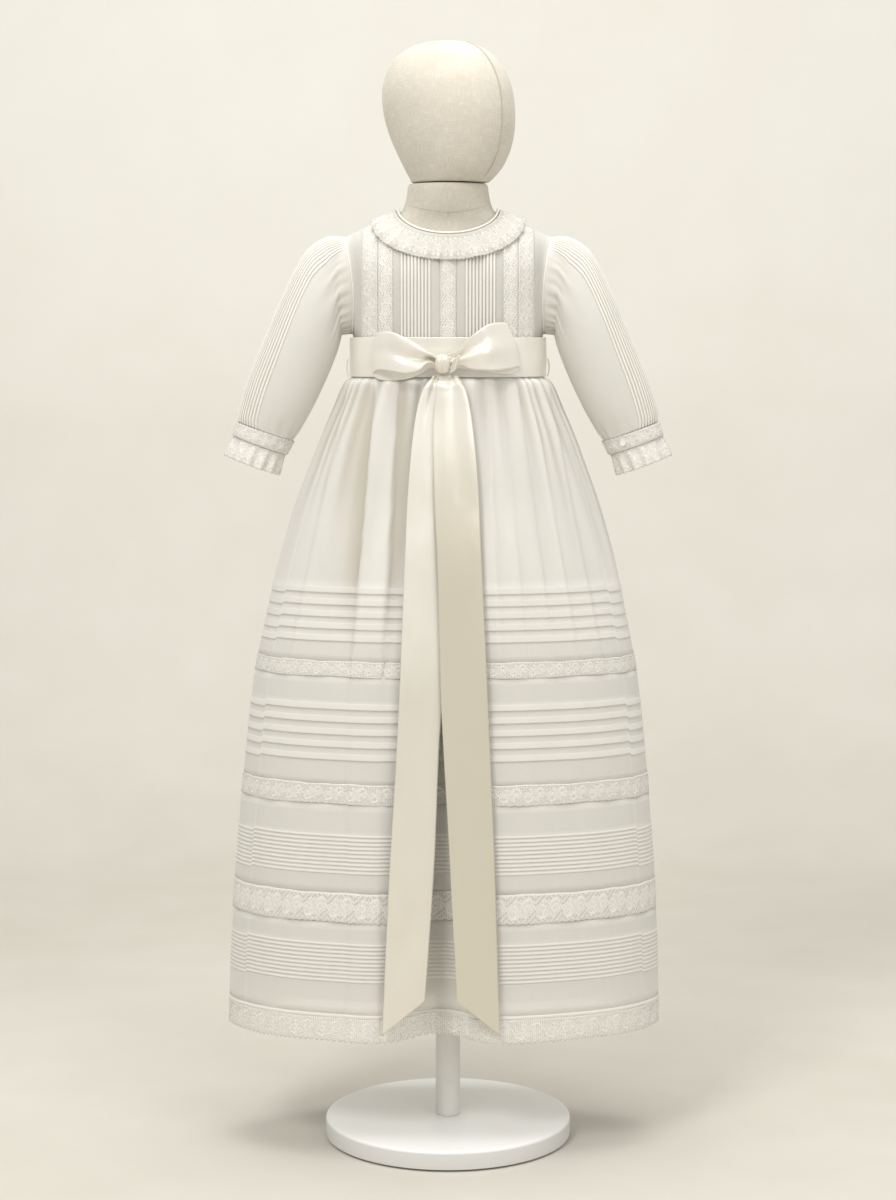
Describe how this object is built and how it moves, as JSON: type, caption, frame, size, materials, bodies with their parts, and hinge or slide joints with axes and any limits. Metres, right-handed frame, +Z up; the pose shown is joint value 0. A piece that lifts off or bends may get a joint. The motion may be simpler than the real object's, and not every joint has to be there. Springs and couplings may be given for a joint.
{
  "type": "christening gown on a dress form",
  "caption": "Long baby gown in tucked sheer cotton and lace with a satin sash, hollow and open at hem and cuffs, worn by a limbless linen form on a round stand.",
  "frame": {"origin": "centre of the stand's underside, on the floor", "axes": "+Z up along the stand's pole, +X to the viewer's right, the gown's front faces -Y"},
  "size_m": [0.4668, 0.26, 1.1455],
  "materials": {
    "voile": "sheer white cotton voile, matte",
    "lining": "white cotton lawn, matte",
    "lace": "white cotton lace, matte",
    "satin": "ivory satin ribbon, soft sheen",
    "thread": "white cotton thread, matte",
    "linen": "natural linen, matte",
    "white_paint": "white paint, satin",
    "pearl": "pearl button, glossy",
    "pad_rubber": "dark foam rubber, matte"
  },
  "bodies": {
    "root": {"base_pad": "pad_rubber", "base_plate": "white_paint", "pole": "white_paint", "form_torso": "linen", "form_head": "linen", "bodice_front": "voile", "bodice_back_left": "voile", "bodice_back_right": "voile", "bodice_lace_centre": "lace", "bodice_lace_inner_left": "lace", "bodice_lace_inner_right": "lace", "bodice_lace_outer_left": "lace", "bodice_lace_outer_right": "lace", "neck_binding": "satin", "collar_ruffle": "lace", "sleeve_left": "voile", "sleeve_right": "voile", "cuff_left": "voile", "cuff_right": "voile", "cuff_lace_left": "lace", "cuff_lace_right": "lace", "cuff_button_left": "pearl", "cuff_button_right": "pearl", "back_button_1": "pearl", "back_button_2": "pearl", "back_button_3": "pearl", "sash": "satin", "belt_loop_left": "thread", "belt_loop_right": "thread", "bow_knot": "satin", "bow_loop_left": "satin", "bow_loop_right": "satin", "sash_tail_left": "satin", "sash_tail_right": "satin", "skirt_upper": "voile", "skirt_lace_1": "lace", "skirt_tier_2": "voile", "skirt_lace_2": "lace", "skirt_tier_3": "voile", "skirt_lace_3": "lace", "skirt_tier_4": "voile", "hem_band": "voile", "hem_lace": "lace", "slip_skirt": "lining"}
  },
  "joints": []
}
